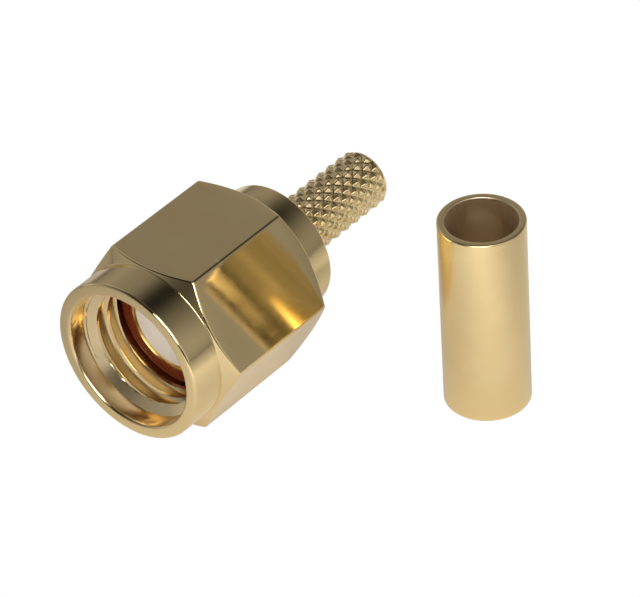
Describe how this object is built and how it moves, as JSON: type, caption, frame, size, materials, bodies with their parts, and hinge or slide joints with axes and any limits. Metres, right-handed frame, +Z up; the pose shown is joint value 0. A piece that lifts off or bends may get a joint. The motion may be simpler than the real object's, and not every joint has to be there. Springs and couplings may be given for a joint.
{
  "type": "crimp coaxial plug with loose ferrule",
  "caption": "Small threaded coaxial plug with a hexagonal coupling nut, white insulator, red gasket and knurled crimp stem, lying beside its plain crimp ferrule.",
  "frame": {"origin": "middle of the footprint, on the surface that the plug's lower hexagon flat and the ferrule's end lie on", "axes": "+Y along the plug's axis from the mating mouth towards the cable, +Z up, +X towards the standing ferrule"},
  "size_m": [0.0176, 0.0168, 0.0095],
  "materials": {
    "nut_gold": "polished gold plate with fine scratches",
    "ring_bronze": "gold-plated spring bronze",
    "gasket_rubber": "glossy red-brown silicone",
    "body_gold": "polished gold plate, knurled stem",
    "insulator_white": "white turned fluoropolymer",
    "contact_gold": "polished gold plate",
    "ferrule_gold": "satin gold plate"
  },
  "bodies": {
    "plug": {"connector_body": "body_gold", "insulator": "insulator_white", "center_contact": "contact_gold", "crimp_ferrule": "ferrule_gold"},
    "ring": {"lock_ring": "ring_bronze"},
    "nut": {"coupling_nut": "nut_gold"},
    "seal": {"gasket": "gasket_rubber"}
  },
  "joints": [
    {"name": "ring_float", "type": "slide", "parent": "plug", "child": "ring", "axis": [0, 1, 0], "range_m": [-0.00006, 0.00006]},
    {"name": "nut_spin", "type": "hinge", "parent": "ring", "child": "nut", "pos_m": [-0.00415, -0.00142, 0.004], "axis": [0, 1, 0], "continuous": true},
    {"name": "gasket_slide", "type": "slide", "parent": "plug", "child": "seal", "axis": [0, 1, 0], "range_m": [0, 0.00158]}
  ]
}
